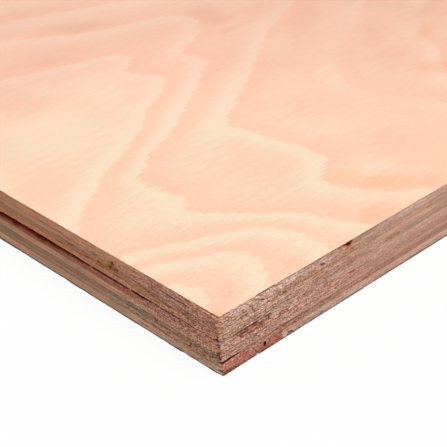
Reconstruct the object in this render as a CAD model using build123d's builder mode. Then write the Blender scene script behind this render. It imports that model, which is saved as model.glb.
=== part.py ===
from build123d import *
import os

# A plywood sheet: eleven veneers glued flat on each other, with the grain turned a quarter
# at every glue line. Sizes are in millimetres. The origin is under the middle of the sheet,
# +X runs along the grain of the face and +Z is up. The near corner, at low X and low Y,
# is the one with the split, the torn splinter and the worm hole in its edges.

# Sheet
sheet_length = 2440
sheet_width = 1220

# Veneer thicknesses, from the face down. The long veneers have their grain along the sheet
# and the crossbands have it across.
face_veneer_thickness = 0.3
crossband_1_thickness = 2.2
long_core_1_thickness = 1.7
crossband_2_thickness = 1.6
long_core_2_thickness = 1.75
crossband_3_thickness = 2.55
long_core_3_thickness = 2.0
crossband_4_thickness = 1.5
long_core_4_thickness = 1.7
crossband_5_thickness = 2.2
back_veneer_thickness = 0.5

# The lowest crossband starts with a narrow strip of another log, butted to the rest
edge_strip_width = 21.1
butt_joint_gap = 0.15

# Core gap, where two strips of the first crossband don't quite meet under the face
core_gap_distance = 44.4
core_gap_width = 3.5
core_gap_height = 0.9
core_gap_reach = 24

# Split at the near corner, where the fourth long core has let go of the crossband above
split_length = 6.8
split_opening = 0.55
split_reach = 1.8

# Worm hole along the grain of the edge strip
worm_hole_distance = 15.1
worm_hole_width = 0.7
worm_hole_height = 0.95
worm_hole_drop = 0.65
worm_hole_reach = 8

# Groove where a splinter has torn out of the left edge, along the grain of the third
# crossband: distance from the near corner, height on the edge, depth into the sheet
torn_groove_stations = [
    (4, 0.12, 0.3),
    (35, 0.7, 1.5),
    (60, 1.15, 2.2),
    (92, 1.9, 3.0),
    (130, 1.3, 2.4),
    (172, 0.12, 0.3),
]

# Cutting shapes stand this far out of the faces that they cut
overshoot = 1

# Thickness of each veneer by its name, in the order of the lay-up
thickness = {
    "face_veneer": face_veneer_thickness,
    "crossband_1": crossband_1_thickness,
    "long_core_1": long_core_1_thickness,
    "crossband_2": crossband_2_thickness,
    "long_core_2": long_core_2_thickness,
    "crossband_3": crossband_3_thickness,
    "long_core_3": long_core_3_thickness,
    "crossband_4": crossband_4_thickness,
    "long_core_4": long_core_4_thickness,
    "crossband_5": crossband_5_thickness,
    "back_veneer": back_veneer_thickness,
}
sheet_thickness = sum(thickness.values())

# Depth of the top of each veneer below the face of the sheet
top_depth = {}
depth_reached = 0
for name in thickness:
    top_depth[name] = depth_reached
    depth_reached += thickness[name]

# The front edge, with its own x along the edge from the near corner, its y down from the
# face, and its normal into the sheet
near_corner = (-sheet_length / 2, -sheet_width / 2, sheet_thickness)
front_edge = Plane(origin=near_corner, x_dir=(1, 0, 0), z_dir=(0, 1, 0))


def veneer(name, start, end):
    """A flat veneer at its depth in the sheet, from start to end along the front edge."""
    with BuildPart() as ply:
        with BuildSketch(front_edge):
            with Locations((start, top_depth[name])):
                Rectangle(end - start, thickness[name], align=(Align.MIN, Align.MIN))
        extrude(amount=sheet_width)
    return ply.part


# The voids, each cut from one veneer
with BuildPart() as core_gap:
    gap_end = core_gap_distance + core_gap_width
    gap_top = top_depth["crossband_1"]
    with BuildSketch(front_edge.offset(-overshoot)):
        with BuildLine():
            Polyline(
                (core_gap_distance, gap_top),
                (core_gap_distance, gap_top - overshoot),
                (gap_end, gap_top - overshoot),
                (gap_end, gap_top),
            )
            ThreePointArc(
                (gap_end, gap_top),
                ((core_gap_distance + gap_end) / 2, gap_top + core_gap_height),
                (core_gap_distance, gap_top),
            )
        make_face()
    extrude(amount=overshoot + core_gap_reach)

with BuildPart() as corner_split:
    split_top = top_depth["long_core_4"]
    with BuildSketch(front_edge.offset(-overshoot)):
        with BuildLine():
            Polyline(
                (-overshoot, split_top + split_opening),
                (-overshoot, split_top - overshoot),
                (split_length, split_top - overshoot),
                (split_length, split_top),
                (0, split_top + split_opening),
                close=True,
            )
        make_face()
    extrude(amount=overshoot + split_reach)
    # The split reaches back least at its two ends
    with BuildSketch(Plane.XY):
        with BuildLine(Plane(origin=near_corner[:2] + (0,))):
            ThreePointArc((0, split_reach / 2), (split_length / 2, split_reach), (split_length, 0))
            Polyline(
                (split_length, 0),
                (split_length, -overshoot),
                (-overshoot, -overshoot),
                (-overshoot, split_reach / 2),
                (0, split_reach / 2),
            )
        make_face()
    extrude(amount=sheet_thickness, mode=Mode.INTERSECT)

with BuildPart() as worm_hole:
    with BuildSketch(front_edge.offset(-overshoot)):
        with Locations((worm_hole_distance, top_depth["crossband_5"] + worm_hole_drop)):
            Ellipse(worm_hole_width / 2, worm_hole_height / 2)
    extrude(amount=overshoot + worm_hole_reach)

with BuildPart() as torn_groove:
    groove_top = top_depth["crossband_3"]
    for distance, height, depth in torn_groove_stations:
        with BuildSketch(front_edge.offset(distance)):
            with BuildLine():
                Polyline(
                    (-overshoot, groove_top + height),
                    (-overshoot, groove_top - overshoot),
                    (depth, groove_top - overshoot),
                    (depth, groove_top),
                    (0, groove_top + height),
                    close=True,
                )
            make_face()
    loft(ruled=True)

# The veneers that a void opens into
with BuildPart() as crossband_1:
    add(veneer("crossband_1", 0, sheet_length))
    add(core_gap.part, mode=Mode.SUBTRACT)

with BuildPart() as crossband_3:
    add(veneer("crossband_3", 0, sheet_length))
    add(torn_groove.part, mode=Mode.SUBTRACT)

with BuildPart() as long_core_4:
    add(veneer("long_core_4", 0, sheet_length))
    add(corner_split.part, mode=Mode.SUBTRACT)

with BuildPart() as crossband_5_strip:
    add(veneer("crossband_5", 0, edge_strip_width))
    add(worm_hole.part, mode=Mode.SUBTRACT)

# Every piece of the sheet, from the face down
pieces = {
    "face_veneer": veneer("face_veneer", 0, sheet_length),
    "crossband_1": crossband_1.part,
    "long_core_1": veneer("long_core_1", 0, sheet_length),
    "crossband_2": veneer("crossband_2", 0, sheet_length),
    "long_core_2": veneer("long_core_2", 0, sheet_length),
    "crossband_3": crossband_3.part,
    "long_core_3": veneer("long_core_3", 0, sheet_length),
    "crossband_4": veneer("crossband_4", 0, sheet_length),
    "long_core_4": long_core_4.part,
    "crossband_5_strip": crossband_5_strip.part,
    "crossband_5": veneer("crossband_5", edge_strip_width + butt_joint_gap, sheet_length),
    "back_veneer": veneer("back_veneer", 0, sheet_length),
}

os.makedirs("parts", exist_ok=True)
for name, piece in pieces.items():
    piece.label = name
    export_step(piece, f"parts/{name}.step")
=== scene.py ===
import math
import bpy
import numpy as np
from mathutils import Matrix, Vector


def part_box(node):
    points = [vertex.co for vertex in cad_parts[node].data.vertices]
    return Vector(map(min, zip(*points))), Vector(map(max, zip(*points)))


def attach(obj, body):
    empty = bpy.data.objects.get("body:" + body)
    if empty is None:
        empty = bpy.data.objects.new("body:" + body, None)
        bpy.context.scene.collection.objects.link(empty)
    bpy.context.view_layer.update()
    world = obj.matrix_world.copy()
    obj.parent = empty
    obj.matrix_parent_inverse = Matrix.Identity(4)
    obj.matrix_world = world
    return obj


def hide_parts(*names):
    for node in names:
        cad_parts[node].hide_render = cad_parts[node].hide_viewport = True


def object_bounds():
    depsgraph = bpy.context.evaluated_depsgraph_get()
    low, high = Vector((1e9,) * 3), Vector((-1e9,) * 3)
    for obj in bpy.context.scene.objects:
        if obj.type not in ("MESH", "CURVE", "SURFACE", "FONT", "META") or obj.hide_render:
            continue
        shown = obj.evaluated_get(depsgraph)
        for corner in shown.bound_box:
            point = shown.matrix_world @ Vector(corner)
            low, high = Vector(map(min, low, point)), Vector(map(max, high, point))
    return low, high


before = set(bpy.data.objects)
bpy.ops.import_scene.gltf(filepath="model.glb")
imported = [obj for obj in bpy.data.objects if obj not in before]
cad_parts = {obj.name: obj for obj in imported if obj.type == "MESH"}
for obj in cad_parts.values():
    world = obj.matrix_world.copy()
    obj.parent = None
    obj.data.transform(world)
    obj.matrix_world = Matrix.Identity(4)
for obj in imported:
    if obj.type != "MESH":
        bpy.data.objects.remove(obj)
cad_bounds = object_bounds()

# A plywood sheet that lies flat, seen at its near corner. Every veneer is a closed mesh with
# the sawn and torn relief of its edges, and takes the place of its solid in the frame.
# Lengths are in millimetres until a mesh is written, which is in metres. A place on an edge
# is a distance along it from the corner where it starts, and a depth below the face.
MM = 0.001
LOW = np.array(cad_bounds[0]) / MM
HIGH = np.array(cad_bounds[1]) / MM
LENGTH, WIDTH, THICKNESS = HIGH - LOW

# The four sides, counter-clockwise from the front, with the way into the sheet. The front and
# the left side meet at the near corner, and distances on both start there.
FRONT, RIGHT, BACK, LEFT = range(4)
INWARD = {FRONT: (0, 1), RIGHT: (-1, 0), BACK: (0, -1), LEFT: (1, 0)}


def srgb(red, green, blue):
    """A colour given as it is seen, from 0 to 255, as linear red, green and blue."""
    seen = np.array([red, green, blue]) / 255
    return np.where(seen > 0.04045, ((seen + 0.055) / 1.055) ** 2.4, seen / 12.92)


# Smooth noise for shapes

def noise(u, v, seed):
    """Smooth noise from -1 to 1, with about one bump to each unit of u and v."""
    u, v = np.broadcast_arrays(np.asarray(u, float), np.asarray(v, float))
    column = np.floor(u).astype(np.int64)
    row = np.floor(v).astype(np.int64)
    across = u - column
    down = v - row
    across = across * across * (3 - 2 * across)
    down = down * down * (3 - 2 * down)

    def knot(i, j):
        """The value at one knot of the grid, from -1 to 1."""
        mixed = (i * 374761393 + j * 668265263 + seed * 974634777) & 0xFFFFFFFF
        mixed = ((mixed ^ (mixed >> 13)) * 1274126177) & 0xFFFFFFFF
        return ((mixed ^ (mixed >> 16)) & 0xFFFF) / 32767.5 - 1

    upper = knot(column, row) * (1 - across) + knot(column + 1, row) * across
    lower = knot(column, row + 1) * (1 - across) + knot(column + 1, row + 1) * across
    return upper * (1 - down) + lower * down


def layered_noise(u, v, seed, layers=3):
    """Noise with finer noise on it, each layer half as large and half as strong."""
    total = 0
    for layer in range(layers):
        total = total + noise(u * 2**layer, v * 2**layer, seed + 17 * layer) / 2**layer
    return total / (2 - 2.0 ** (1 - layers))


def step(low, high, value):
    """0 below low, 1 above high and smooth between them."""
    part = np.clip((value - low) / (high - low), 0, 1)
    return part * part * (3 - 2 * part)


def tint(colour, mask, factor):
    """A colour times a factor where the mask is 1, and as it was where the mask is 0."""
    return colour * (1 + mask[..., None] * (np.array(factor) - 1))


# The veneers, from the face down: the wood as it looks on the front and on the left edge

VENEERS = {
    "face_veneer": (srgb(201, 160, 140), srgb(214, 170, 141)),
    "crossband_1": (srgb(201, 160, 140), srgb(201, 144, 114)),
    "long_core_1": (srgb(183, 144, 122), srgb(190, 142, 115)),
    "crossband_2": (srgb(198, 156, 133), srgb(182, 128, 99)),
    "long_core_2": (srgb(183, 144, 122), srgb(190, 135, 105)),
    "crossband_3": (srgb(196, 155, 134), srgb(181, 120, 96)),
    "long_core_3": (srgb(188, 142, 122), srgb(197, 151, 123)),
    "crossband_4": (srgb(190, 150, 129), srgb(166, 130, 103)),
    "long_core_4": (srgb(175, 129, 108), srgb(180, 141, 112)),
    "crossband_5_strip": (srgb(181, 122, 104), srgb(214, 170, 141)),
    "crossband_5": (srgb(195, 162, 144), srgb(214, 170, 141)),
    "back_veneer": (srgb(104, 82, 70), srgb(138, 108, 92)),
}

# How far from the near corner the two edges are roughest
ROUGH_REACH = {FRONT: 50, LEFT: 40}
# The veneers that are sawn more cleanly than the rest, and how much of their specks is left
CALMER = {"crossband_5_strip": 0.6, "long_core_4": 0.85}
# Sawn wood seen on end and along its grain: the size of its fibres along and down an edge and
# how rough they are, the size of torn stretches and the noise above which they tear, and the
# size of the tears and how uneven they are
END_GRAIN = ((1.8, 0.42), 0.045, (7, 1.4), 0.2, (1.4, 0.4), 0.10)
SIDE_GRAIN = ((9, 0.35), 0.035, (22, 0.8), 0.35, (3, 0.3), 0.08)
# How far a sawn surface may stand proud of its edge
PROUD = 0.08
# Factors on the wood's colour: painted shade in pits, a painted highlight on splinters, painted shade
# inside a void and in its mouth, and a redder painted shade in the wide part of the groove, where the
# wood is red
PIT_SHADE = (0.56, 0.44, 0.42)
SPLINTER_HIGHLIGHT = (1.36, 1.62, 1.74)
VOID_SHADE = (0.60, 0.45, 0.40)
MOUTH_SHADE = (0.17, 0.025, 0.01)
GROOVE_SHADE_RED = (5.8, 3.8, 1.2)

# The voids, as they are built in the solids. "drop" is the depth of the worm hole's middle in
# its veneer, and the groove goes by distance from the near corner, height and depth in.
CORE_GAP = {"start": 44.4, "width": 3.5, "height": 0.9, "reach": 24}
SPLIT = {"length": 6.8, "opening": 0.55, "reach": 1.8}
WORM_HOLE = {"at": 15.1, "width": 0.7, "height": 0.95, "drop": 0.65, "reach": 8}
TORN_GROOVE = [
    (4, 0.12, 0.3), (35, 0.7, 1.5), (60, 1.15, 2.2), (92, 1.9, 3), (130, 1.3, 2.4), (172, 0.12, 0.3),
]
# Splinters that still bridge the groove: distance from the near corner and half width
BRIDGES = [(13.8, 1.0), (22.2, 0.7), (24.6, 0.8), (34.2, 0.9), (50.3, 0.8)]

# Cracks and dark lines on an edge, their darkness painted shade that grows with their depth: half
# width, how deep they go in, and the points that they run through, each a place along and down
SHADED_CRACKS = {FRONT: [
    (0.17, 0.2, 8.6, 0.8, 9.8, 1.4, 10.5, 2.2, 11, 3, 11.8, 4.1, 12.2, 5.2),
    (0.19, 0.26, 13.4, 1.5, 13.8, 1.9, 15, 2.3, 15.7, 2.7), (0.2, 0.26, 16.4, 3.7, 17, 4.1),
    (0.26, 0.24, 12.8, 0.3, 19, 0.35), (0.2, 0.15, 21, 0.3, 33, 0.35, 41, 0.3),
    (0.3, 0.18, 42.5, 0.5, 44.8, 0.7), (0.22, 0.12, 49.5, 0.3, 62, 0.35),
    (0.2, 0.22, 4.5, 7.95, 9, 8, 14.5, 7.85, 17.4, 7.85), (0.26, 0.34, 5.2, 8, 7.2, 8.1),
    (0.3, 0.36, 11.3, 8.1, 12.6, 8.2), (0.26, 0.26, 8.2, 9.1, 9.6, 9), (0.22, 0.22, 9.8, 9.9, 11.4, 9.8),
    (0.24, 0.34, 17.2, 7.9, 16.8, 8.6, 16.9, 9.5), (0.17, 0.28, 18.3, 10.3, 20.5, 10.65, 21.1, 10.1),
    (0.16, 0.26, 11, 15.1, 11.4, 16, 12.3, 17.2), (0.24, 0.32, 23.6, 17, 25.2, 17.3),
    (0.2, 0.24, 21.7, 4.3, 23.5, 4.4), (0.26, 0.3, 29.4, 8.3, 29.9, 8.4),
    (0.24, 0.32, 36.2, 2.2, 37.4, 2.7), (0.24, 0.2, 46.5, 10, 49, 10.2), (0.24, 0.12, 49.5, 10.1, 56, 10.5),
    (0.16, 0.14, 21.5, 13.9, 31, 13.8), (0.14, 0.14, 1, 9.3, 4, 9.9), (0.2, 0.22, 0.4, 17.1, 5, 17.5),
    (0.16, 0.12, 4.2, 15.7, 6.5, 16.3),
], LEFT: [
    (0.18, 0.24, 12, 2.4, 16, 2.45, 22, 2.3), (0.18, 0.24, 10, 4.4, 14, 4.4), (0.14, 0.1, 16, 5.5, 22, 5.5),
    (0.14, 0.12, 14, 13.7, 30, 13.6), (0.16, 0.2, 3, 13.7, 6, 13.6), (0.16, 0.2, 5, 15.4, 13, 15.4),
    (0.16, 0.24, 16, 15.35, 23, 15.4), (0.15, 0.14, 23, 15.4, 30, 15.3),
    (0.3, 0.32, 10.6, 13.3, 11, 13.8, 11.6, 14.3), (0.18, 0.3, 27.7, 16.6, 31, 16.8),
    (0.2, 0.22, 49, 5.3, 53, 5.4), (0.28, 0.2, 57.5, 4.4, 60, 4.6),
    (0.48, 0.2, 41.7, 4.6, 41, 3.4, 40.3, 2.3), (0.3, 0.16, 38.9, 4.1, 38.4, 3.7),
    (0.26, 0.32, 46.3, 4.7, 46.9, 4.9), (0.18, 0.14, 33, 10, 45, 10.2),
    (0.28, 0.4, 1, 6.4, 1.2, 7.2, 1.8, 7.8), (0.16, 0.28, 1.2, 7.5, 0.1, 7.5),
    (0.22, 0.28, 0.5, 9, 0.3, 9.8), (0.24, 0.26, 0.3, 10.8, 1, 11.6, 0.4, 12.8),
    (0.2, 0.22, 1.5, 11.6, 1.9, 13.2), (0.3, 0.46, 0, 16.6, 1.3, 16.7), (0.17, 0.3, 1.5, 0.45, 6.5, 0.45),
    (0.14, 0.18, 2.6, 1.2, 5.5, 1.2), (0.18, 0.18, 10, 0.4, 15, 0.45),
    (0.2, 0.2, 56, 7.6, 74, 7.5, 92, 7.55),
]}

# Torn patches, pitted between the fibres: centre along and down, half length, half height,
# and how deep the pits go
TEARS = {FRONT: [
    (10.8, 9.2, 7.8, 1.6, 0.42), (14.5, 2.2, 1.8, 0.8, 0.22), (22.8, 4.4, 1.6, 0.5, 0.22),
    (26, 10.6, 4, 1.2, 0.2), (31.5, 8.9, 3.4, 0.8, 0.26), (39.5, 9.6, 4, 0.9, 0.26),
    (14, 11.8, 3, 1.2, 0.22), (21.5, 9.8, 2.6, 1.4, 0.2), (24, 17, 2.6, 0.8, 0.2),
], LEFT: [
    (35.5, 9.2, 3.5, 1, 0.2), (0.5, 12, 1.6, 1.8, 0.3), (0.9, 9, 1.2, 1, 0.26), (41, 3.8, 1.8, 1.8, 0.1),
    (52, 10.4, 4, 0.6, 0.2), (12, 8.6, 8, 0.5, 0.16), (8.5, 4, 2, 1.6, 0.16),
]}

# Raised splinters on an edge with a painted highlight: half width, and their points
HIGHLIT_SPLINTERS = {FRONT: [
    (0.26, 12.7, 0.8, 14.1, 1.3), (0.22, 15, 1.6, 15.6, 1.4), (0.26, 23.9, 16.8, 24.8, 16.6),
    (0.22, 25.4, 17.1, 26.2, 16.9), (0.26, 12.7, 11.8, 13.4, 12), (0.24, 14.2, 12.8, 14.8, 12.9),
    (0.18, 13.2, 1.3, 14.4, 2), (0.15, 15.2, 2.1, 16, 3.2), (0.16, 17.4, 0.6, 19.2, 0.9),
    (0.14, 20.4, 1.2, 21.4, 2.4), (0.18, 22.2, 0.8, 23.4, 1.1), (0.18, 25.2, 1.1, 26.4, 1.5),
    (0.16, 9, 10.4, 9.6, 10.6), (0.16, 10.4, 11.1, 10.9, 11.2), (0.15, 11.4, 10.6, 11.9, 10.9),
    (0.15, 12, 12.3, 12.4, 12.5), (0.22, 19.2, 10.1, 20, 10.3), (0.26, 26.4, 8.9, 27, 8.9),
    (0.3, 40, 11.9, 41, 12), (0.22, 28.8, 11.4, 29.4, 11.8), (0.24, 21.4, 15.9, 22.4, 15.9),
], LEFT: [
    (0.22, 1.4, 0.8, 6.6, 0.8), (0.18, 0, 15.9, 1.6, 16), (0.24, 0, 17, 1.8, 17.1),
    (0.2, 0, 13.5, 0.6, 13.6),
]}

# Stains and paler patches on an edge, some of the pale ones painted highlights: centre along and
# down, half length, half height, and per cent of the wood's red, green and blue
STAINS_AND_HIGHLIGHTS = {FRONT: [
    (1.2, 1.2, 2.8, 1.3, 87, 75, 69), (7, 1.6, 5, 1.2, 112, 116, 118), (16, 3.3, 9, 0.9, 103, 113, 117),
    (6, 4.9, 14, 1, 88, 93, 94), (10, 11.9, 12, 1.8, 82, 79, 80), (15, 13, 13, 1.3, 86, 81, 80),
    (23, 8.1, 7, 0.7, 90, 88, 91), (33, 8.1, 5, 0.8, 78, 71, 72), (51, 6.6, 6, 1, 80, 75, 73),
    (58, 3.8, 14, 1.7, 86, 85, 84), (86, 1, 6, 0.8, 86, 84, 80), (87, 4.7, 6, 1, 88, 88, 88),
    (24, 1.6, 8.5, 1.3, 102, 108, 109), (28.5, 1.4, 3.4, 1.1, 100, 108, 114),
    (47.2, 1.6, 4.2, 1.4, 82, 70, 64), (47, 4, 4, 2.5, 94, 88, 82), (53, 1, 8, 1.1, 76, 70, 64),
    (71, 1.5, 5, 1.2, 112, 134, 134), (77, 1.6, 3.2, 1.1, 114, 114, 120), (81.2, 4.4, 1.6, 0.8, 90, 78, 68),
    (81.4, 1.6, 0.5, 1.5, 110, 114, 116), (46.8, 1.7, 1.5, 0.6, 80, 55, 48),
    (46.9, 0.2, 1.9, 0.35, 60, 40, 32), (42, 0.9, 4.5, 0.8, 76, 70, 62), (15, 0.9, 3, 0.6, 134, 136, 138),
    (9.5, 1.9, 3.2, 0.6, 136, 134, 140), (29, 1.9, 8, 0.6, 110, 115, 118), (1.2, 6.6, 2.2, 1, 86, 74, 70),
    (34, 6.6, 5, 1, 76, 74, 74), (7, 11, 6, 0.9, 78, 79, 78), (22, 13.9, 26, 0.55, 84, 79, 77),
    (48.5, 16.5, 2.2, 0.8, 105, 110, 118), (54, 16.6, 2.5, 0.7, 108, 116, 106),
    (34, 3.8, 12, 0.9, 90, 80, 70), (27, 3.6, 3.2, 0.6, 100, 88, 82), (9, 4.9, 3.8, 1.2, 94, 95, 86),
    (64.5, 6.5, 4.4, 1, 82, 68, 55), (67.5, 6.9, 1.2, 0.8, 84, 74, 64), (66, 5, 13, 0.6, 108, 112, 112),
    (11.2, 9.1, 8.4, 1.6, 77, 55, 51), (5.2, 8.3, 2.2, 0.7, 100, 82, 80), (9.5, 8.7, 4.5, 0.7, 92, 82, 76),
    (19.3, 9, 2.2, 1, 112, 116, 110), (19.5, 11.4, 2.6, 0.9, 98, 84, 78), (32.5, 8.9, 2.8, 0.9, 86, 68, 64),
    (39, 10, 3.8, 0.9, 110, 82, 82), (28, 11, 2, 0.8, 116, 95, 96), (27, 9.3, 1.6, 0.7, 114, 102, 102),
    (22.5, 9.8, 2, 1, 102, 86, 86), (41, 10.4, 1.8, 0.8, 108, 110, 114), (49, 11, 5, 1.2, 102, 92, 92),
    (22.8, 14.2, 2, 0.7, 78, 62, 56), (24.4, 15.1, 3.8, 0.45, 66, 50, 40),
    (26.8, 14.7, 1.6, 0.6, 92, 68, 54), (41, 16.3, 13, 1.2, 93, 88, 85), (57, 14.8, 12, 0.6, 88, 84, 82),
    (62, 12.8, 7, 0.9, 85, 79, 76), (49, 14.7, 1.5, 0.7, 96, 68, 62), (54, 15, 1.5, 0.6, 94, 60, 54),
    (64.5, 14.4, 2.2, 0.9, 88, 76, 64), (5, 14.9, 8, 0.9, 110, 92, 90), (2, 14.8, 3.6, 0.7, 134, 148, 160),
    # The first one below is a painted pink highlight under the end of the split
    (5.8, 14.3, 1, 0.3, 125, 115, 120), (9.8, 14.8, 2.8, 0.6, 88, 82, 82), (15, 14.7, 5, 0.8, 100, 90, 84),
    (3.2, 15.8, 5.2, 0.8, 136, 144, 144), (11.5, 16, 2.8, 0.9, 86, 100, 104), (10, 17, 10, 0.7, 72, 62, 65),
    (20, 15.6, 3.2, 0.6, 76, 62, 54), (26.4, 15.8, 4.2, 0.7, 86, 57, 47), (30, 17, 9, 0.8, 84, 76, 73),
    (56, 15.8, 12, 0.6, 97, 90, 88), (60, 17, 9, 0.6, 79, 78, 78), (18.3, 16.2, 1.6, 0.5, 96, 102, 70),
    (19.6, 16.8, 1.6, 0.8, 66, 42, 41), (22.6, 16.8, 1.6, 1.3, 110, 122, 112),
    (22.8, 17.8, 1.8, 0.6, 190, 200, 200), (36, 17.9, 12, 0.5, 150, 160, 160),
    (17.5, 17.8, 3, 0.5, 130, 100, 100), (62, 17.95, 38, 0.5, 200, 210, 210),
    (51.5, 16.6, 4.5, 1, 103, 112, 114), (66, 16.6, 5, 0.9, 98, 92, 86), (70, 17.35, 12, 0.3, 76, 70, 66),
    # The last one below is a painted salmon highlight on the rounded upright arris at the corner
    (86, 16.8, 2.5, 0.9, 94, 88, 94), (0.2, 3.5, 0.9, 4, 112, 94, 92),
], LEFT: [
    (14, 4.2, 14, 4.6, 100, 105, 114), (4.2, 0.9, 3.8, 0.7, 138, 134, 152),
    (1.2, 1.9, 2.4, 0.6, 80, 78, 88), (17.5, 0.9, 6, 0.7, 107, 118, 126), (29, 1.9, 12, 0.7, 82, 78, 80),
    (53, 1.9, 9, 0.8, 82, 89, 93), (3.6, 3.3, 4.2, 1.1, 74, 69, 69), (1, 6.6, 2.4, 1, 84, 74, 74),
    (17, 11, 7, 0.9, 90, 91, 94), (26.5, 12.8, 4, 0.7, 112, 106, 108), (20.5, 3.2, 3.8, 0.9, 120, 118, 128),
    (34, 3.2, 4.5, 0.9, 88, 86, 86), (40, 6.5, 9, 0.8, 117, 109, 110), (1.5, 9.4, 2.2, 0.8, 125, 124, 130),
    (26, 13.95, 32, 0.55, 124, 126, 136), (37, 13.95, 8, 0.5, 116, 114, 116),
    (1.6, 14.8, 2.4, 0.6, 122, 116, 130), (34, 14.8, 4.5, 0.5, 115, 110, 110),
    (74, 14.9, 17, 0.5, 86, 74, 71), (86, 12.8, 7, 0.9, 94, 81, 69), (12, 15.8, 12, 0.7, 124, 119, 125),
    (20, 16.9, 20, 0.7, 107, 113, 123), (38, 2.2, 5, 1.5, 96, 92, 90), (44, 3.6, 7, 1, 94, 84, 76),
    (14, 8.9, 26, 1.6, 107, 130, 138), (36, 9.1, 4, 1, 94, 72, 60), (40.5, 9.3, 3.2, 1, 82, 78, 66),
    (50, 9.2, 10, 1, 90, 76, 66), (84, 9.3, 28, 1.1, 80, 58, 47), (20, 9.4, 4, 0.8, 122, 118, 124),
    (48, 5.1, 9, 0.9, 90, 78, 63), (40.9, 3.5, 2.2, 1.9, 70, 58, 48), (42.6, 5, 2.6, 0.8, 90, 80, 56),
    (46.3, 4.9, 1.7, 0.7, 82, 76, 46), (32.8, 1.1, 1.4, 0.8, 102, 98, 76), (80, 14.1, 6, 1.1, 96, 94, 76),
    (6, 12, 1.7, 1.6, 100, 104, 116), (11.2, 11.7, 1.1, 0.6, 102, 92, 74), (4.5, 14.7, 5.5, 1, 110, 88, 82),
    (11, 16.5, 1.6, 0.8, 102, 86, 88), (40, 16.2, 3.5, 0.7, 104, 92, 86), (0.4, 12, 1.8, 1.8, 92, 66, 58),
    # The first one below is a painted salmon highlight on the rounded upright arris at the corner
    (0.3, 3.5, 1, 4, 112, 94, 90), (24, 17.8, 9, 0.6, 130, 130, 130), (51, 17.8, 12, 0.6, 120, 120, 120),
    (78, 16.3, 6, 0.9, 95, 83, 79), (62, 16.7, 7, 0.5, 114, 110, 112),
]}

# Where the back veneer has splintered off the lower arris: centre along, half length, depth in
CHIPS = {FRONT: [(12.6, 0.42, 0.40)], LEFT: [(6.0, 12.0, 0.17), (25.0, 9.0, 0.12)]}


def oval_distance(along, depth, oval):
    """Distance of each place on an edge from the middle of an oval, 1 at its outline."""
    centre_along, centre_depth, half_along, half_depth = oval
    return np.hypot((along - centre_along) / half_along, (depth - centre_depth) / half_depth)


def line_distance(along, depth, points):
    """Distance of each place on an edge from a line through the points."""
    points = np.reshape(points, (-1, 2))
    nearest = np.full(np.shape(along), np.inf)
    for start, end in zip(points[:-1], points[1:]):
        run = end - start
        part = ((along - start[0]) * run[0] + (depth - start[1]) * run[1]) / (run @ run)
        part = np.clip(part, 0, 1)
        gap = np.hypot(along - start[0] - part * run[0], depth - start[1] - part * run[1])
        nearest = np.minimum(nearest, gap)
    return nearest


def sawn_relief(veneer, side, along, depth):
    """How far the saw and the grain have left each place of an edge below its plane."""
    seed = 100 * veneer["index"] + 10 * side
    end_grain = veneer["cross"] == (side in (FRONT, BACK))
    fibre, rough, stretch, torn_from, tear, uneven = END_GRAIN if end_grain else SIDE_GRAIN
    relief = 0.02 + rough * layered_noise(along / fibre[0], depth / fibre[1], seed)
    torn = step(torn_from, 0.8, noise(along / stretch[0], depth / stretch[1], seed + 1))
    relief = relief + torn * (0.08 + uneven * noise(along / tear[0], depth / tear[1], seed + 2))
    # The glue line lies a little lower
    to_glue = np.minimum(depth - veneer["top"], veneer["bottom"] - depth)
    line = 0.01 + 0.08 * noise(along / 5, veneer["index"] + 0 * along, 31 + side)
    relief = relief + np.clip(line, 0, 1) * np.exp(-((to_glue / 0.16) ** 2))
    # The saw frays the arris of the face, most of all near the corner
    frayed = 0.04 + 0.10 * noise(along / 1.1, 0.5, 71 + side) + 0.06 * noise(along / 0.35, 0.5, 75 + side)
    frayed = np.clip(frayed, 0, 1) * (0.35 + 0.65 * np.exp(-((along / 26) ** 2)))
    if side == LEFT:
        frayed = frayed * 0.3
    return relief + frayed * (1 - step(0.0, 0.25, depth))


def corner_wear(side, along, depth):
    """How far the upright arris at each end of a side is worn and splintered back."""
    length = LENGTH if side in (FRONT, BACK) else WIDTH
    from_end = np.minimum(along, length - along)
    reach = 0.75 + 0.45 * noise(depth / 1.1, 0.5, 81) + 0.25 * noise(depth / 0.4, 0.5, 82)
    wear = 0.34 * reach * np.clip(1 - from_end / reach, 0, 1) ** 2
    # Below the split the corner is broken a little further back
    broken = 0.24 * step(15.1, 15.5, depth) * (1 - step(0.8, 2.4, along)) * (side == LEFT)
    wear = wear * (0.3 + 0.7 * step(0.2, 1.8, depth)) * (1 - 0.6 * step(15.0, 16.0, depth))
    return wear + broken


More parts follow.
